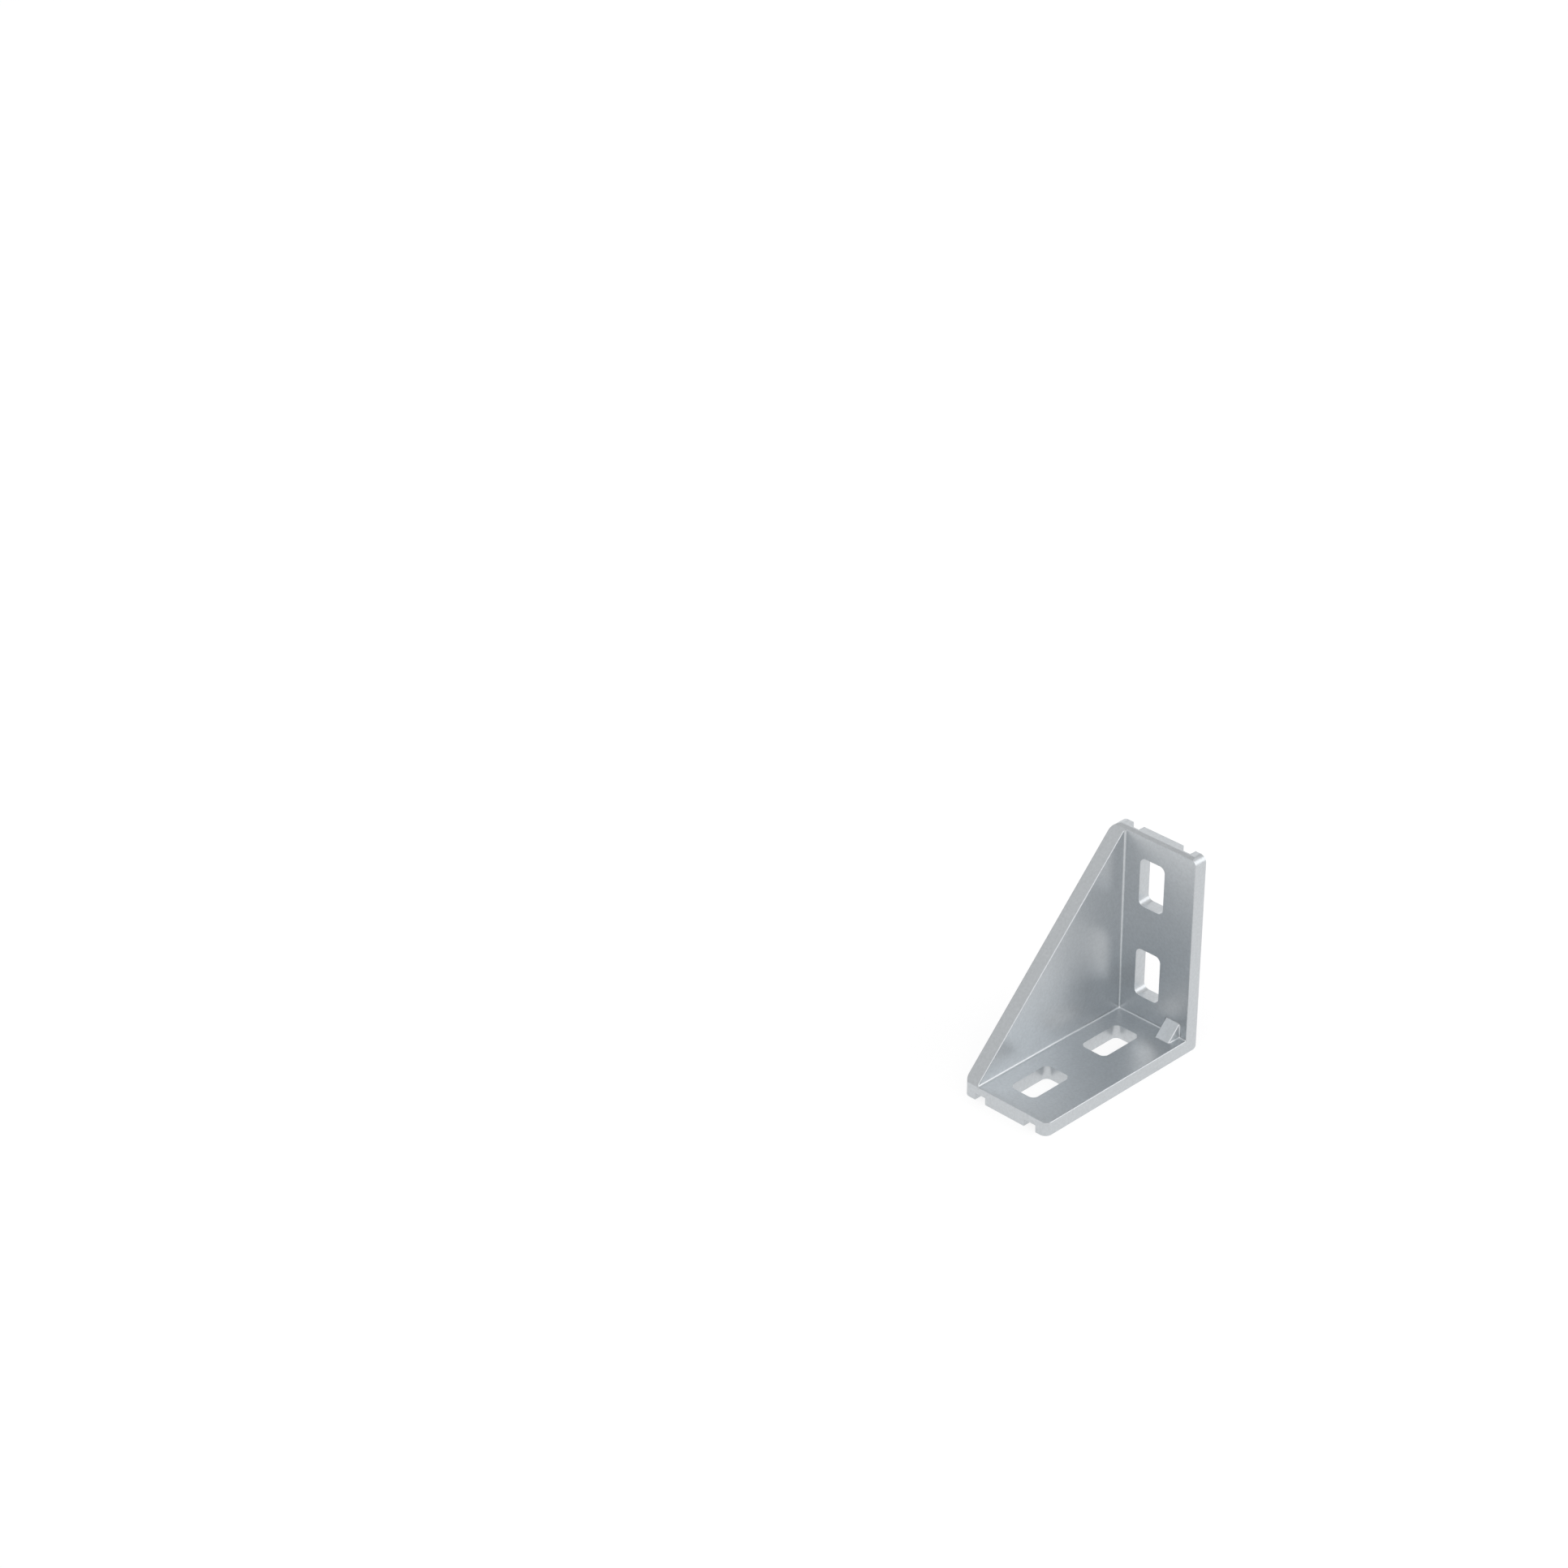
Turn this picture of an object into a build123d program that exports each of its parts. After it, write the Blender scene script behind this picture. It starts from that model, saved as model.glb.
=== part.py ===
from build123d import *
import math
import os

# T-slot corner bracket: one aluminium die casting with two slotted legs at a right angle,
# one triangular side wall between them and a small rib in the inner corner.
# Frame: millimetres, +Z up. The origin is the outer corner where the two mounting planes
# meet, at mid-width. The lower leg runs along +X and lies on Z = 0, the upright leg runs
# along +Z with its back on X = 0. The side wall is on the -Y side, and +Y is open.

# ---- driving dimensions ----
leg_length = 78.0  # outer corner to the free end, the same on both legs
width = 38.0  # across the legs, 2 mm less than the 40 mm profile
leg_thickness = 5.3  # mounting plane to inner face
parting_height = 3.3  # mounting plane to the parting line of the mould
edge_draft = 7.0  # degrees, free ends of the legs above the parting line
end_corner_radius = 2.7  # free corners of the legs, seen square on
outer_corner_radius = 1.5  # where the two mounting planes meet

wall_edge_thickness = 6.1  # side wall, measured at its sloping edge
wall_draft = 1.0  # degrees, makes the side wall thicker towards the corner

slot_width = 11.0
slot_length = 19.0
slot_corner_radius = 2.3
slot_centres = (23.7, 60.0)  # from the outer corner along each leg

pad_width = 17.8  # raised pad that the slots pass through
wall_rim_width = 5.4  # raised rim under the side wall
open_rim_width = 4.8  # raised rim along the open side
groove_depth = 2.75  # of the two reliefs between the pad and the rims
groove_draft = 2.0  # degrees, flanks of the reliefs

rib_size = 5.7  # of the small triangular rib, along each leg
rib_thickness = 6.3
rib_edge_distance = 3.3  # open side to the rib

corner_fillet = 0.8  # hollow corners between the legs and the side wall
rib_fillet = 0.6  # hollow corners at the foot of the rib
edge_radius = 0.4  # edges of the sloping faces and of the legs along the open side

# ---- derived places ----
half_width = width / 2
cutter_reach = 2 * leg_length  # long enough to pass right through
diagonal = Plane((0, 0, 0), x_dir=(0, 1, 0), z_dir=(1, 0, -1))  # mirror plane X = Z
slope_plane = Plane((0, 0, 0), z_dir=(1, 0, 1))  # parallel to the sloping faces
edge_lean = (leg_thickness - parting_height) * math.tan(math.radians(edge_draft))
inner_length = leg_length - edge_lean  # outer corner to the end of an inner face
slope_distance = (inner_length + leg_thickness) / math.sqrt(2)  # corner to the sloping face
wall_lean = math.tan(math.radians(wall_draft))
wall_root_thickness = wall_edge_thickness + slope_distance * wall_lean
rib_open_side = half_width - rib_edge_distance
rib_wall_side = rib_open_side - rib_thickness


def both_legs(shape):
    """The shape on the lower leg and its mirror image on the upright leg."""
    return [shape, mirror(shape, about=diagonal)]


def leg_angle():
    """The two legs as a plain angle, longer than needed and trimmed later."""
    section = Plane.XZ * Polygon(
        (0, 0),
        (cutter_reach, 0),
        (cutter_reach, leg_thickness),
        (leg_thickness, leg_thickness),
        (leg_thickness, cutter_reach),
        (0, cutter_reach),
        align=None,
    )
    return extrude(section, half_width, both=True)


def side_wall():
    """Side wall in the corner: a wedge in section, thicker towards the outer corner."""
    section = Plane((0, -half_width, 0), x_dir=(1, 0, 1), z_dir=(1, 0, -1)) * Polygon(
        (0, 0),
        (cutter_reach, 0),
        (cutter_reach, cutter_reach * wall_lean - wall_root_thickness),
        (0, -wall_root_thickness),
        align=None,
    )
    return extrude(section, cutter_reach, both=True)


def round_slope(body):
    """Round the two long edges of a body's largest sloping face."""
    slope = body.faces().filter_by(slope_plane).sort_by(SortBy.AREA)[-1]
    long_edges = slope.edges().filter_by(GeomType.LINE).filter_by(Axis.Y, reverse=True)
    return fillet(long_edges, edge_radius)


def rib():
    """Small triangular rib that stiffens the inner corner near the open side."""
    reach = leg_thickness + rib_size
    section = Plane((0, rib_open_side, 0), x_dir=(1, 0, 0), z_dir=(0, -1, 0)) * Polygon(
        (0, 0),
        (reach, 0),
        (reach, leg_thickness),
        (leg_thickness, reach),
        (0, reach),
        align=None,
    )
    return round_slope(extrude(section, rib_thickness))


def leg_outline():
    """Outline of one leg seen square on, with rounded corners at the free end."""
    outline = Pos(leg_length / 2, 0) * Rectangle(leg_length, width)
    free_corners = outline.vertices().group_by(Axis.X)[-1]
    return fillet(free_corners, end_corner_radius)


def casting_block():
    """Outer form of the casting: side outline by plan outline of each leg."""
    outline = Plane.XZ * Polygon(
        (0, 0),
        (leg_length, 0),
        (leg_length, parting_height),
        (inner_length, leg_thickness),
        (leg_thickness, inner_length),
        (parting_height, leg_length),
        (0, leg_length),
        align=None,
    )
    outer_corner = outline.vertices().sort_by_distance((0, 0, 0))[0]
    block = extrude(fillet(outer_corner, outer_corner_radius), half_width, both=True)
    for column in both_legs(extrude(leg_outline(), leg_length)):
        block = block & column
    return block


def slots():
    """Through slots of the lower leg, long along the leg."""
    opening = RectangleRounded(slot_length, slot_width, slot_corner_radius)
    cutter = extrude(opening, 2 * leg_thickness, both=True)
    return [Pos(centre, 0, 0) * cutter for centre in slot_centres]


def relief(near_edge, far_edge):
    """Shallow channel along the lower leg's mounting plane, between two values of Y."""
    flank_lean = groove_depth * math.tan(math.radians(groove_draft))
    section = Plane.YZ * Polygon(
        (near_edge - flank_lean, -groove_depth),
        (far_edge + flank_lean, -groove_depth),
        (far_edge - flank_lean, groove_depth),
        (near_edge + flank_lean, groove_depth),
        align=None,
    )
    return extrude(section, cutter_reach, both=True)


def touches(edge, *distances):
    """True if both ends and the middle of an edge lie on every face tested."""
    points = [edge @ 0, edge @ 0.5, edge @ 1]
    return all(abs(distance(point)) < 0.01 for distance in distances for point in points)


def above_floor(point):
    """Height above the lower leg's inner face."""
    return point.Z - leg_thickness


def before_upright(point):
    """Distance in front of the upright leg's inner face."""
    return point.X - leg_thickness


def beside_wall(point):
    """Distance from the side wall's inner face, along Y."""
    along = (point.X + point.Z) / math.sqrt(2)
    return point.Y + half_width - wall_root_thickness + along * wall_lean


def inside_open_side(point):
    """Distance inside the open side."""
    return half_width - point.Y


def filleted_angle():
    """Legs, side wall and rib with their inner corners and open edges rounded, before trimming."""
    body = leg_angle() + side_wall()
    inner_corners = [
        edge
        for edge in body.edges()
        if touches(edge, beside_wall, above_floor)
        or touches(edge, beside_wall, before_upright)
        or touches(edge, above_floor, before_upright)
    ]
    body = fillet(inner_corners, corner_fillet) + rib()
    rib_foot = []
    for side in (rib_wall_side, rib_open_side):
        rib_outline = body.edges().filter_by_position(Axis.Y, side - 0.01, side + 0.01)
        rib_foot += rib_outline.sort_by(SortBy.LENGTH)[:-1]  # all but the edge along the slope
    body = fillet(rib_foot, rib_fillet)
    open_edges = [
        edge
        for edge in body.edges()
        if touches(edge, inside_open_side, above_floor) or touches(edge, inside_open_side, before_upright)
    ]
    return fillet(open_edges, edge_radius)


def bracket():
    """The whole casting, with the slots and the reliefs of both legs cut through."""
    body = round_slope(filleted_angle() & casting_block())
    wall_rim_edge = wall_rim_width - half_width
    open_rim_edge = half_width - open_rim_width
    cutters = slots()
    cutters.append(relief(wall_rim_edge, -pad_width / 2))
    cutters.append(relief(pad_width / 2, open_rim_edge))
    for cutter in cutters:
        for copy in both_legs(cutter):
            body = body - copy
    return body


bracket_body = bracket()
os.makedirs("parts", exist_ok=True)
export_step(bracket_body, "parts/bracket_body.step")
print(f"bracket_body {bracket_body.volume / 1000:.2f} cm3, valid {bracket_body.is_valid}")
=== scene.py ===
import math

import bpy
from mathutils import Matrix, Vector

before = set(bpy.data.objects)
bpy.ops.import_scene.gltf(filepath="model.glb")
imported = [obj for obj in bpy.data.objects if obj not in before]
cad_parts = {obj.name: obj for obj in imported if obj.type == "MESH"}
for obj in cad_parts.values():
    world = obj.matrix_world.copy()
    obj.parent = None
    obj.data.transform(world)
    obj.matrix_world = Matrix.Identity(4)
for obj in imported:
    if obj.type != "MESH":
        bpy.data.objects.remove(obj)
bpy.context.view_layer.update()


def direction_of(azimuth, elevation):
    """Unit vector towards an azimuth and an elevation in degrees."""
    az, el = math.radians(azimuth), math.radians(elevation)
    return Vector((math.cos(az) * math.cos(el), math.sin(az) * math.cos(el), math.sin(el)))


def grey(level):
    """Neutral colour of the given level."""
    return (level, level, level, 1)


class Nodes:
    """Small helper that adds shader nodes and links them."""

    def __init__(self, tree):
        self.tree = tree
        tree.nodes.clear()

    def add(self, kind, settings=None, **inputs):
        node = self.tree.nodes.new(kind)
        for name, value in (settings or {}).items():
            setattr(node, name, value)
        for name, value in inputs.items():
            self.put(node, name.replace("_", " "), value)
        return node

    def put(self, node, name, value):
        socket = node.inputs[int(name)] if name.isdigit() else node.inputs[name]
        if isinstance(value, bpy.types.NodeSocket):
            self.tree.links.new(value, socket)
        else:
            socket.default_value = value

    def maths(self, operation, first, second):
        node = self.add("ShaderNodeMath", {"operation": operation, "use_clamp": True})
        self.put(node, "0", first)
        self.put(node, "1", second)
        return node.outputs[0]

    def mix(self, blend, amount, first, second):
        node = self.add("ShaderNodeMixRGB", {"blend_type": blend}, Fac=amount)
        self.put(node, "Color1", first)
        self.put(node, "Color2", second)
        return node.outputs["Color"]

    def noise(self, place, scale, detail):
        node = self.add("ShaderNodeTexNoise", Vector=place, Scale=scale, Detail=detail, Roughness=0.6)
        return node.outputs["Fac"]

    def ramp(self, factor, stops):
        node = self.add("ShaderNodeValToRGB", Fac=factor)
        elements = node.color_ramp.elements
        while len(elements) < len(stops):
            elements.new(0.5)
        for element, (position, level) in zip(elements, stops):
            element.position = position
            element.color = grey(level)
        return node.outputs["Color"]

    def smooth(self, value, start, full):
        """0 up to start, 1 from full on, with soft ends."""
        node = self.add("ShaderNodeMapRange", {"interpolation_type": "SMOOTHSTEP"}, Value=value)
        self.put(node, "From Min", start)
        self.put(node, "From Max", full)
        return node.outputs["Result"]


# ---- camera: the photograph's viewing angle ----
camera_place = (0.9802, 0.7975, 0.8205)
camera_azimuth = 45.05
camera_elevation = 29.87
camera_lens = 97.74  # mm, on a 36 mm sensor


def make_camera():
    """Camera at its place, looking down against its azimuth and elevation."""
    data = bpy.data.cameras.new("camera")
    data.sensor_width = 36.0
    data.lens = camera_lens
    data.clip_end = 50.0
    camera = bpy.data.objects.new("camera", data)
    camera.location = camera_place
    away = direction_of(camera_azimuth, camera_elevation)
    camera.rotation_euler = (-away).to_track_quat("-Z", "Y").to_euler()
    bpy.context.collection.objects.link(camera)
    bpy.context.scene.camera = camera


make_camera()


# ---- material ----
metal_colour = (0.595, 0.620, 0.640, 1)  # aluminium alloy, a little cool
grain_scale = 2600.0  # features of about 0.4 mm
mottle_scale = 1000.0  # about 1 mm
cloud_scale = 140.0  # about 7 mm
mottle_tones = ((0.3, 0.91), (0.7, 1.02))  # noise, share of the colour
cloud_gloss = ((0.3, 0.325), (0.7, 0.375))  # noise, roughness


def cast_aluminium(material):
    """Satin die-cast aluminium: fine blasted grain, a mottled skin and faint clouding of the gloss."""
    material.use_nodes = True
    n = Nodes(material.node_tree)
    place = n.add("ShaderNodeTexCoord").outputs["Object"]
    grain = n.noise(place, grain_scale, 3.0)
    mottle = n.noise(place, mottle_scale, 3.0)
    cloud = n.noise(place, cloud_scale, 4.0)
    tone = n.ramp(mottle, mottle_tones)
    skin = n.add("ShaderNodeBump", Strength=0.15, Distance=0.0001, Height=mottle)
    bump = n.add("ShaderNodeBump", Strength=0.25, Distance=0.00004, Height=grain)
    n.put(bump, "Normal", skin.outputs["Normal"])
    shader = n.add("ShaderNodeBsdfPrincipled", Metallic=1.0)
    n.put(shader, "Base Color", n.mix("MULTIPLY", 1.0, tone, metal_colour))
    n.put(shader, "Roughness", n.ramp(cloud, cloud_gloss))
    n.put(shader, "Normal", bump.outputs["Normal"])
    n.add("ShaderNodeOutputMaterial", Surface=shader.outputs["BSDF"])


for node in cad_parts.values():
    for material_slot in node.material_slots:
        cast_aluminium(material_slot.material)


# ---- studio ----
floor_size = 24.0
floor_tone = 0.8  # where the floor lights the object
seen_floor_tone = 0.2  # where it is seen or mirrored, low so that the shadow stays faint
seen_floor_glow = 0.83  # the rest of its white


def floor_material():
    """Plain white floor that keeps the object's soft shadow."""
    material = bpy.data.materials.new("studio_floor")
    material.use_nodes = True
    n = Nodes(material.node_tree)
    path = n.add("ShaderNodeLightPath").outputs
    seen = n.maths("ADD", path["Is Camera Ray"], path["Is Glossy Ray"])
    seen = n.maths("ADD", seen, path["Is Transmission Ray"])
    plain = n.add("ShaderNodeBsdfDiffuse", Color=grey(floor_tone))
    dimmed = n.add("ShaderNodeBsdfDiffuse", Color=grey(seen_floor_tone))
    glow = n.add("ShaderNodeEmission", Color=grey(1), Strength=seen_floor_glow)
    white = n.add("ShaderNodeAddShader")
    n.put(white, "0", dimmed.outputs[0])
    n.put(white, "1", glow.outputs[0])
    both = n.add("ShaderNodeMixShader", Fac=seen)
    n.put(both, "1", plain.outputs[0])
    n.put(both, "2", white.outputs[0])
    n.add("ShaderNodeOutputMaterial", Surface=both.outputs[0])
    return material


def make_floor():
    """Square floor at the object's foot."""
    half = floor_size / 2
    corners = [(-half, -half, 0), (half, -half, 0), (half, half, 0), (-half, half, 0)]
    mesh = bpy.data.meshes.new("studio_floor")
    mesh.from_pydata(corners, [], [(0, 1, 2, 3)])
    mesh.materials.append(floor_material())
    floor = bpy.data.objects.new("studio_floor", mesh)
    bpy.context.collection.objects.link(floor)


make_floor()

lamp_distance = 3.0
room_levels = ((0.0, 0.58), (0.45, 0.70), (1.0, 0.97))  # sine of the elevation, brightness
high_back_level = 0.45


def soft_lamp(name, azimuth, elevation, size, power):
    """Square soft light aimed at the object."""
    data = bpy.data.lights.new(name, "AREA")
    data.size = size
    data.energy = power
    lamp = bpy.data.objects.new(name, data)
    away = direction_of(azimuth, elevation)
    lamp.location = away * lamp_distance
    lamp.rotation_euler = away.to_track_quat("Z", "Y").to_euler()
    bpy.context.collection.objects.link(lamp)


soft_lamp("lamp_front", 40, 37, 2.2, 18.0)
soft_lamp("lamp_right", 130, 26, 2.3, 19.0)
soft_lamp("lamp_back", 225, 22, 1.4, 4.0)


def studio_world():
    """Pale room, brighter overhead: dark low on the camera's side and darker in a patch high at the back."""
    world = bpy.data.worlds.new("studio")
    world.use_nodes = True
    bpy.context.scene.world = world
    n = Nodes(world.node_tree)
    ray = n.add("ShaderNodeTexCoord").outputs["Generated"]
    height = n.add("ShaderNodeSeparateXYZ", Vector=ray).outputs["Z"]

    def nearness(azimuth, elevation):
        facing = n.add("ShaderNodeVectorMath", {"operation": "DOT_PRODUCT"})
        n.put(facing, "0", ray)
        n.put(facing, "1", direction_of(azimuth, elevation))
        return facing.outputs["Value"]

    low_front = n.maths("MULTIPLY", n.smooth(nearness(20, 0), 0.3, 0.9), n.smooth(height, 0.5, 0.05))
    high_back = n.smooth(nearness(235, 55), 0.90, 0.98)
    sky = n.ramp(height, room_levels)
    sky = n.mix("MIX", low_front, sky, grey(0))
    sky = n.mix("MIX", high_back, sky, grey(high_back_level))
    background = n.add("ShaderNodeBackground", Color=sky, Strength=1.0)
    n.add("ShaderNodeOutputWorld", Surface=background.outputs[0])


studio_world()

bpy.context.scene.view_settings.view_transform = "Standard"
